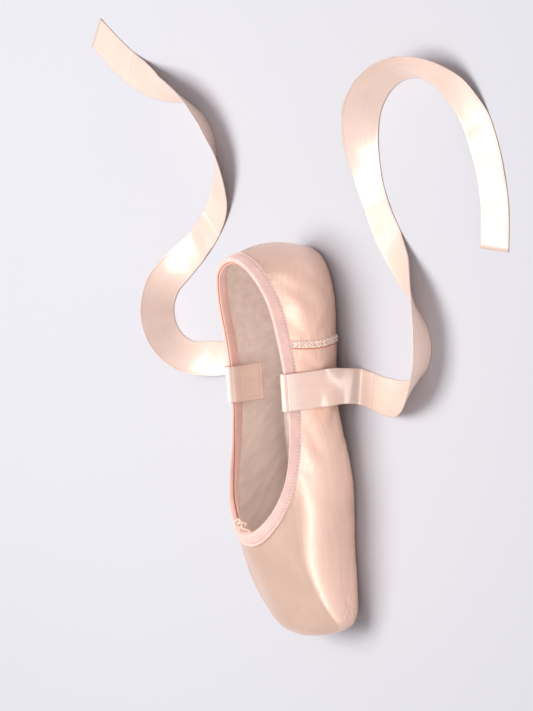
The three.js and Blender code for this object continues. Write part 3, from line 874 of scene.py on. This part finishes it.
class POINTE_OT_ribbons(bpy.types.Operator):
    """Make both satin ribbons, from inside the quarters over the edge and out on the floor"""
    bl_idname = "pointe.ribbons"
    bl_label = "Ribbons"

    def execute(self, context):
        width = sizes().ribbon_width / MM
        thick = sizes().ribbon_thick / MM
        finish = polyester_satin("nylon_satin_ribbon", colours().ribbon, streak=0.8, gloss=0.34,
                                 metal=0.12, coat=0.35, relief_share=0.25, edge_at=width / 2 - 0.1)
        thread = sewing_thread(colours().thread)
        # Across the ribbon: flat, with a fuller woven edge.
        place = np.concatenate([[-1, -0.985, -0.95, -0.92], np.linspace(-0.85, 0.85, 7),
                                [0.92, 0.95, 0.985, 1]])
        edge_rise = np.exp(-((np.abs(place) - RIBBON_EDGE) / 0.03) ** 2) * RIBBON_EDGE_RISE
        routes = (("ribbon_left", ribbon_route(LEFT_RIM_X, 1, LEFT_ON_FLOOR), 21),
                  ("ribbon_right", ribbon_route(RIGHT_RIM_X, -1, RIGHT_ON_FLOOR), 22))
        for name, route, seed in routes:
            middle, across, along = ribbon_rows(route, RIBBON_STEPS)
            run = run_along(middle)
            normal = unit(np.cross(across, along))
            normal *= np.sign((normal * normal[0]).sum(1, keepdims=True))
            edge = width / 2 + 0.12 * ripple(run, 37, seed)
            loose = soft_step((run - 60) / 40)
            wave = loose[:, None] * (0.22 * ripple(run[:, None] + 9 * place[None], 29, seed + 1)
                                     * place[None] ** 2)
            flat = middle[:, None] + across[:, None] * (edge[:, None] * place[None])[..., None]
            top = flat + normal[:, None] * ((thick / 2 + edge_rise)[None] + wave)[..., None]
            under = flat - normal[:, None] * (thick / 2 + edge_rise[None] - wave)[..., None]
            # Past its way down the side, each section is let down until it touches the floor.
            settle = (soft_step((run - RIBBON_DOWN) / (RIBBON_SETTLED - RIBBON_DOWN))
                      * (np.minimum(top, under)[..., 2].min(1) - RIBBON_ABOVE_FLOOR))
            top[..., 2] -= settle[:, None]
            under[..., 2] -= settle[:, None]
            middle = middle - UP * settle[:, None]
            breadth = closed(place, place, 0) * width / 2
            cloth = np.stack(np.broadcast_arrays(run[:, None], breadth[None]), 2)
            piece = band(name + "_satin", top, under, cloth)
            finish_piece(piece, [finish], [name])
            outward = normal * np.sign(normal[0, 1]) * -np.sign(middle[0, 1])
            a, b = tack_ends(middle, across, along, run, outward, thick / 2 + 0.1)
            tacks = stitches(name + "_tacks", a, b, np.repeat(outward[2][None], len(a), 0),
                             sizes().thread_width / MM)
            finish_piece(tacks, [thread])
        return {"FINISHED"}


def drawstring_path(steps):
    """Middle line of the cord: out of the binding, once round in a knot, and back into it."""
    lean = math.radians(KNOT_LEAN)
    up = np.array([-math.sin(lean), 0, math.cos(lean)])
    out = np.array([math.cos(lean), 0, math.sin(lean)])
    t = math.pi + KNOT_CUT + 2 * (math.pi - KNOT_CUT) * np.arange(KNOT_POINTS + 1) / KNOT_POINTS
    loop = (np.array([KNOT_X, 0, KNOT_Z])
            + up * (KNOT_SIZE * (np.cos(t) - 2 * np.cos(2 * t)))[:, None]
            - out * (KNOT_RISE * np.sin(3 * t))[:, None])
    loop[:, 1] = KNOT_SIZE * (np.sin(t) + 2 * np.sin(2 * t))
    ends = [np.array([LEG_X, side * LEG_Y, LEG_Z]) for side in (1, -1)]
    rows = [ends[0], ends[0] + up * LEG_BEND, *loop, ends[1] + up * LEG_BEND, ends[1]]
    return smooth_path(rows, steps)


class POINTE_OT_drawstring(bpy.types.Operator):
    """Tie the drawstring in one loose knot at the throat"""
    bl_idname = "pointe.drawstring"
    bl_label = "Drawstring"

    def execute(self, context):
        path = drawstring_path(260)
        radius = sizes().cord_width / MM / 2
        plies, lay = 3, 3.2  # three strands, one turn in 3.2 mm

        def rope(run, angle):
            strand = np.abs(np.cos(plies / 2 * angle - math.pi * plies * run / lay))
            return radius * (0.93 + 0.12 * strand)

        piece = tube("drawstring_cotton", path, rope, 20)
        finish_piece(piece, [twisted_cotton(colours().cord)], ["drawstring"])
        return {"FINISHED"}


# ---- Upper ----------------------------------------------------------------------------------------
STEPS_PER_ROW = 24
LINING_RUMPLE = 0.10


def off_face(lines):
    """Direction off a face of lines that run up it, or off its back if they run down."""
    forward = unit(np.roll(lines, -1, 0) - np.roll(lines, 1, 0))
    return -unit(np.cross(forward, unit(np.gradient(lines, axis=1))))


class POINTE_OT_upper(bpy.types.Operator):
    """Draw the satin over the last and line it inside"""
    bl_idname = "pointe.upper"
    bl_label = "Upper"

    def execute(self, context):
        stations = np.arange(ROWS_ROUND * STEPS_PER_ROW) / STEPS_PER_ROW
        outer = rib_line(stations, 0.0)
        drops = run_from_rim(outer)
        spread = np.broadcast_to(stations[:, None], drops.shape)
        outer_face = outer + off_face(outer) * relief(spread, drops, outer)[..., None]
        inner = rib_line(stations, None)[:, ::-1][:, ::2]
        inner_drops = run_from_rim(inner[:, ::-1])[:, ::-1]
        rumple = (LINING_RUMPLE * ripple(inner[..., 0] + inner[..., 2], 17, 31)
                  * soft_step(inner_drops / 12))
        inner_face = inner + off_face(inner) * rumple[..., None]
        points = np.concatenate([outer_face, inner_face, outer_face[:, :1]], 1)
        cloth = np.concatenate([
            cloth_place(stations, drops), cloth_place(stations, inner_drops),
            cloth_place(stations, drops)[:, :1]], 1)
        lining_from = outer.shape[1] - 1
        piece = cloth_grid("upper_satin", wrapped(points, 0), wrapped(cloth, 0),
                           finish=lambda column: int(column >= lining_from))
        satin = polyester_satin("polyester_satin_upper", colours().satin, crushed=True)
        lining = cotton_drill("cotton_drill_lining", colours().lining)
        finish_piece(piece, [satin, lining], ["upper"])
        return {"FINISHED"}


# ---- Binding --------------------------------------------------------------------------------------
BINDING_STEPS = 26
BINDING_TURNS = (12, 26, 42, 60, 78, 94, 106, 114, 122, 130, 142, 156, 168)  # degrees over the rim
# The columns between these turns get the painted shade colour, which stands in for the shade beside
# the drawstring.
PAINTED_SHADE_TURNS = (106, 130)  # the strip beside the drawstring, which lies in shade
CHANNEL_AT, CHANNEL_DEPTH = 118, 0.45
STITCH_ROW = 1.6  # height of the stitch row above the tape's lower edge


class POINTE_OT_binding(bpy.types.Operator):
    """Fold the tape over the edge and sew it down"""
    bl_idname = "pointe.binding"
    bl_label = "Binding"

    def execute(self, context):
        width, thick = sizes().binding_width / MM, sizes().binding_thick / MM
        stations = np.arange(ROWS_ROUND * BINDING_STEPS) / BINDING_STEPS
        rim_run = round_from_heel(stations)

        def line(drop, depth):
            return on_wall(stations, np.full(len(stations), drop), depth)

        wall = rib_at(stations)["wall"]
        # Section of the tape: how far down from the rim, how far out from the satin, run of cloth.
        outer_leg = [(width, 0.05), (width, 0.45), (width - 0.12, 0.8), (width - 0.5, 1.05),
                     (width - 0.95, 0.98), (width - 1.35, 0.6), (width - STITCH_ROW, 0.46),
                     (width - 1.85, 0.6), (width - 2.3, 0.98), (4.0, 1.12), (3.2, 1.14),
                     (2.4, 1.1), (1.4, 1.04), (0.6, 1.0), (0.0, 0.98)]
        columns = []
        gather = ripple(rim_run, 4.2, 41) * 0.16 + ripple(rim_run, 9.5, 42) * 0.10
        for drop, share in outer_leg:
            swell = 1.3 * gather * math.sin(math.pi * min(1, max(0, drop / width))) ** 0.7
            stand = GAP + thick * share - GAP * (share < 0.1) + swell
            face = line(drop, 0.0)
            columns.append(face + unit(face - line(drop, 0.6)) * stand[:, None])
        over = GAP + thick
        rim_out, rim_in = line(0.0, 0.0), line(0.0, None)
        top = unit(rim_out - line(3.0, 0.0))
        across = unit(rim_out - rim_in)
        middle = (rim_out + rim_in) / 2
        half = wall / 2 + over
        for turn in BINDING_TURNS:
            angle = math.radians(turn)
            # The tape dips beside the drawstring that runs in it.
            channel = CHANNEL_DEPTH * math.exp(-((turn - CHANNEL_AT) / 7) ** 2)
            bulge = over * math.sin(angle) ** 0.8 * (1 + 0.08 * ripple(rim_run, 6.1, 43)) - channel
            columns.append(middle + across * (half * math.cos(angle))[:, None]
                           + top * bulge[:, None])
        inner_leg = [(0.0, 1.0), (1.2, 1.0), (2.6, 1.0), (4.2, 0.98), (5.4, 0.92), (6.2, 0.8),
                     (6.7, 0.5), (6.8, 0.05)]
        for drop, share in inner_leg:
            face = line(drop, None)
            stand = GAP * (share > 0.1) + thick * share + 0.5 * gather
            columns.append(face + unit(face - line(drop, 0.0)) * stand[:, None])
        # Back up the inside and over the covered rim.
        for drop in (6.4, 1.0):
            columns.append(line(drop, None) + unit(rim_in - rim_out) * 0.08)
        columns.append(middle + top * 0.1)
        for drop in (1.0, width - 0.6):
            columns.append(line(drop, 0.0) + across * 0.08)
        points = wrapped(np.stack(columns, 1), 1)
        step = np.linalg.norm(np.diff(points, axis=1), axis=2)
        v = np.concatenate([np.zeros((len(points), 1)), np.cumsum(step, 1)], 1)
        u = np.broadcast_to(rim_run[:, None], v.shape)
        points = wrapped(points, 0)
        cloth = np.stack([u, v], 2)
        last = cloth[:1].copy()
        last[..., 0] = round_from_heel([ROWS_ROUND - 1e-6])[0]
        # The strip beside the drawstring gets the second material: painted shade.
        first, end = (len(outer_leg) + BINDING_TURNS.index(turn) for turn in PAINTED_SHADE_TURNS)
        piece = cloth_grid("binding_tape", points, np.concatenate([cloth, last]),
                           finish=lambda column: int(first <= column < end))
        painted_shade = painted_shade_fold(colours().fold)
        finish_piece(piece, [cotton_tape(colours().binding), painted_shade], ["binding"])

        # One row of stitches near the tape's lower edge, outside and inside.
        total = round_from_heel([ROWS_ROUND - 1e-6])[0]
        pitch = sizes().stitch_pitch / MM
        thread = sizes().thread_width / MM
        count = int(total / pitch)
        grid = np.linspace(0, ROWS_ROUND, 2400)
        runs = round_from_heel(np.minimum(grid, ROWS_ROUND - 1e-6))
        # Each stitch fills the middle of its length, and the needle holes lie between.
        rows = [np.interp((np.arange(count) + share) * total / count, runs, grid)
                for share in (0.14, 0.86)]
        drop = width - STITCH_ROW + 0.10 * ripple(np.arange(count), 9, 44)
        finish = sewing_thread(colours().thread)
        for name, depth, behind, stand in (("outside", 0.0, 0.6, GAP + 0.62 * thick - 0.02),
                                           ("inside", None, 0.0, GAP + 0.95 * thick - 0.02)):
            faces = [on_wall(row, drop, depth) for row in rows]
            outs = [unit(face - on_wall(row, drop, behind)) for face, row in zip(faces, rows)]
            a, b = (face + out * stand for face, out in zip(faces, outs))
            finish_piece(stitches("binding_stitches_" + name, a, b, outs[0], thread),
                         [finish])
            # Needle holes: small dark beads in the painted shade colour, which stand in for the shade
            # inside each hole.
            along = unit(np.roll(a, -1, 0) - b)
            middle = (np.roll(a, -1, 0) + b) / 2 - outs[0] * 0.12
            finish_piece(stitches("binding_painted_hole_shade_" + name, middle - along * 0.3,
                                  middle + along * 0.3, outs[0], 0.5, arch=0),
                         [painted_shade])
        return {"FINISHED"}


# ---- Seams ----------------------------------------------------------------------------------------
SEAM_TOP, SEAM_END = 6.4, 13.5  # down from the rim, and up from the end of the wall line under it
SEAM_BOW = 1.6  # the seam bows towards the heel
SEAM_BACK = 0.4  # how far its front edge lies before the row
SEAM_PAD, SEAM_UNDER = 0.55, 0.15  # height of the lap over the satin, and how far it goes under
SEAM_STITCH = 1.5
# Radius and place of the thin tube that carries the fold's painted shade.
FOLD_RADIUS, FOLD_AHEAD = 0.34, 0.55
OVERLOCK_LANES = ((0.06, 0.46), (0.52, 0.94))  # shares of the seam's width
BACK_SEAM_AWAY = 0.062  # rows of the table on each side of the heel back
BACK_STITCH, BACK_PITCH = 1.6, 2.2


def seam_pad(share):
    """Height of the lapped seam across its width, as a share of its full height."""
    return np.sin(math.pi * np.clip(share * 0.9 + 0.1, 0, 1)) ** 0.5


class POINTE_OT_seams(bpy.types.Operator):
    """Sew the quarters on: overlocked side seams and a plain back seam"""
    bl_idname = "pointe.seams"
    bl_label = "Seams"

    def execute(self, context):
        width = sizes().seam_width / MM
        thread = sizes().thread_width / MM
        satin = polyester_satin("polyester_satin_seam", shade(colours().satin, 1.04)[:3], gloss=0.36)
        finish = sewing_thread(colours().thread)
        painted_shade = painted_shade_fold(colours().fold)
        for name, row, turn in (("left", SEAM_ROW, -1), ("right", ROWS_ROUND - SEAM_ROW, 1)):
            low = float(wall_length(np.array([row]))[0]) - SEAM_END
            per_mm = turn / ROW_PITCH

            def bow(drop):
                return SEAM_BOW * np.sin(math.pi * (drop - SEAM_TOP) / (low - SEAM_TOP))

            # The heel side laps over: a soft pad, highest in its middle, drawn in by stitches.
            run = np.linspace(SEAM_TOP, low, 90)
            across = np.linspace(0, 1, 11)
            pull = 1 + 0.28 * ripple(run, 3.4, 51)
            edge = 0.16 * ripple(run, 3.1, 52)
            s = row + per_mm * (across[None] * width - SEAM_BACK + (edge - bow(run))[:, None])
            here, _, _, out = satin_face(s, run[:, None].repeat(len(across), 1))
            face = here + out * (0.06 + SEAM_PAD * seam_pad(across)[None] * pull[:, None])[..., None]
            breadth = closed(across, across, 0) * width
            cloth = np.stack(np.broadcast_arrays(breadth[None], run[:, None]), 2)
            finish_piece(band("side_seam_" + name, face, here - out * SEAM_UNDER, cloth),
                         [satin])
            # The front edge is turned under; its fold is drawn as a thin tube in painted shade, a
            # warm line that stands in for the shade there.
            front = row - per_mm * (FOLD_AHEAD - 0.12 * ripple(run, 3.1, 53) + bow(run))
            line, _, _, out = satin_face(front, run)
            fold = tube("side_seam_painted_fold_shade_" + name, line + out * 0.12,
                        lambda run, angle: FOLD_RADIUS, 8)
            finish_piece(fold, [painted_shade])
            # Two lanes of slanted loops, as an overlocker sews them.
            steps = np.arange(SEAM_TOP + 0.6, low - 0.8, SEAM_STITCH)
            starts, ends, outs = [], [], []
            for lane, (near, far) in enumerate(OVERLOCK_LANES):
                for k, drop in enumerate(steps):
                    pair = []
                    for u, d in zip(((near, far), (far, near))[k % 2], (drop, drop + SEAM_STITCH)):
                        station = row + per_mm * (u * width - SEAM_BACK - bow(drop))
                        point, _, _, out = satin_face(station, d + 0.4 * lane)
                        pair.append(point + out * (0.14 + SEAM_PAD * seam_pad(u)))
                    starts.append(pair[0])
                    ends.append(pair[1])
                    outs.append(out)
            finish_piece(stitches("side_seam_stitches_" + name, starts, ends, outs, thread * 1.5),
                         [finish])
        # Back seam: a narrow channel with a row of small stitches on each side.
        drops = np.arange(7.4, float(wall_length(np.array([0.0]))[0]) - 12, BACK_PITCH)
        starts, ends, outs = [], [], []
        for side in (-BACK_SEAM_AWAY, BACK_SEAM_AWAY):
            for drop in drops:
                point, _, _, out = satin_face(side, drop)
                starts.append(point + out * 0.05)
                ends.append(satin_face(side, drop + BACK_STITCH)[0] + out * 0.05)
                outs.append(out)
        finish_piece(stitches("back_seam_stitches", starts, ends, outs, thread * 0.8),
                     [finish])
        return {"FINISHED"}


# ---- Sole and insole ------------------------------------------------------------------------------
PLATE_STEPS = 40


def plate(name, left, right, top, bottom):
    """A closed plate between a left and a right edge line, with top and bottom heights as functions
    of x and of the share across, from 0 at the left edge to 1 at the right."""
    share = (1 - np.cos(np.linspace(0, math.pi, PLATE_STEPS + 1))) / 2
    flat = left[:, None] * (1 - share)[None, :, None] + right[:, None] * share[None, :, None]
    upper, lower = flat.copy(), flat.copy()
    upper[..., 2] = top(flat[..., 0], share[None])
    lower[..., 2] = bottom(flat[..., 0], share[None])
    ring = closed(lower, upper)
    return cloth_grid(name, ring, ring[..., :2].copy())


def edge_lines(edge):
    """Left and right halves of an edge that runs round the shoe, from heel to toe."""
    count = len(edge) // 2
    return edge[:count + 1], np.concatenate([edge[:1], edge[:count - 1:-1]])


def across_rise(share, sharp):
    """From 0 at both edges to 1 in the middle; the sharper, the sooner it is there."""
    return 1 - np.abs(2 * share - 1) ** sharp


class POINTE_OT_sole(bpy.types.Operator):
    """Cut the outsole from leather and skive its edge, and lay the insole with its sock"""
    bl_idname = "pointe.sole"
    bl_label = "Outsole and insole"

    def execute(self, context):
        stations = np.arange(ROWS_ROUND * 16) / 16
        rib = rib_at(stations)
        edge = SOLE_EDGE - 0.3

        def under_sole(x, share):
            return lift(x) + 0.35 * (1 - across_rise(share, 14))

        def over_sole(x, share):
            return lift(x) + edge + (SOLE_THICK - edge) * across_rise(share, 6)

        piece = plate("outsole_leather", *edge_lines(corners(rib, 0.0)[1]), over_sole, under_sole)
        finish_piece(piece, [buffed_leather(colours().leather)], ["outsole"])

        under, _, foot, _, _ = corners(rib, rib["wall"])
        inset = unit((under - foot) * (1, 1, 0)) * INSOLE_EDGE
        base = SOLE_THICK + GAP + UNDER_WALL + GAP

        def under_sock(x, share):
            return lift(x) + base

        def over_sock(x, share):
            return lift(x) + base + 0.5 + (INSOLE_THICK - 0.5) * across_rise(share, 16)

        piece = plate("insole_sock", *edge_lines(foot + inset), over_sock, under_sock)
        finish_piece(piece,
                     [cotton_drill("brushed_cotton_sock", colours().sock, pitch=1.2)], ["insole"])
        return {"FINISHED"}


PIECES = (POINTE_OT_stage, POINTE_OT_ribbons, POINTE_OT_drawstring, POINTE_OT_upper,
          POINTE_OT_binding, POINTE_OT_seams, POINTE_OT_sole)


class POINTE_PT_panel(bpy.types.Panel):
    """Lists the shoe's sizes, colours and pieces"""
    bl_label = "Pointe shoe"
    bl_idname = "POINTE_PT_panel"
    bl_space_type = "VIEW_3D"
    bl_region_type = "UI"
    bl_category = "Pointe shoe"

    def draw(self, context):
        for group in (sizes(), colours()):
            box = self.layout.box()
            for name in group.__annotations__:
                box.prop(group, name)
        for piece in PIECES:
            self.layout.operator(piece.bl_idname)


CLASSES = (ShoeSizes, ShoeColours, *PIECES, POINTE_PT_panel)


def register():
    for each in CLASSES:
        bpy.utils.register_class(each)
    bpy.types.Scene.pointe_sizes = bpy.props.PointerProperty(type=ShoeSizes)
    bpy.types.Scene.pointe_colours = bpy.props.PointerProperty(type=ShoeColours)


def unregister():
    del bpy.types.Scene.pointe_colours
    del bpy.types.Scene.pointe_sizes
    for each in reversed(CLASSES):
        bpy.utils.unregister_class(each)


def main():
    register()
    bpy.ops.pointe.stage()
    bpy.ops.pointe.ribbons()
    bpy.ops.pointe.drawstring()
    bpy.ops.pointe.upper()
    bpy.ops.pointe.binding()
    bpy.ops.pointe.seams()
    bpy.ops.pointe.sole()


if __name__ == "__main__":
    main()
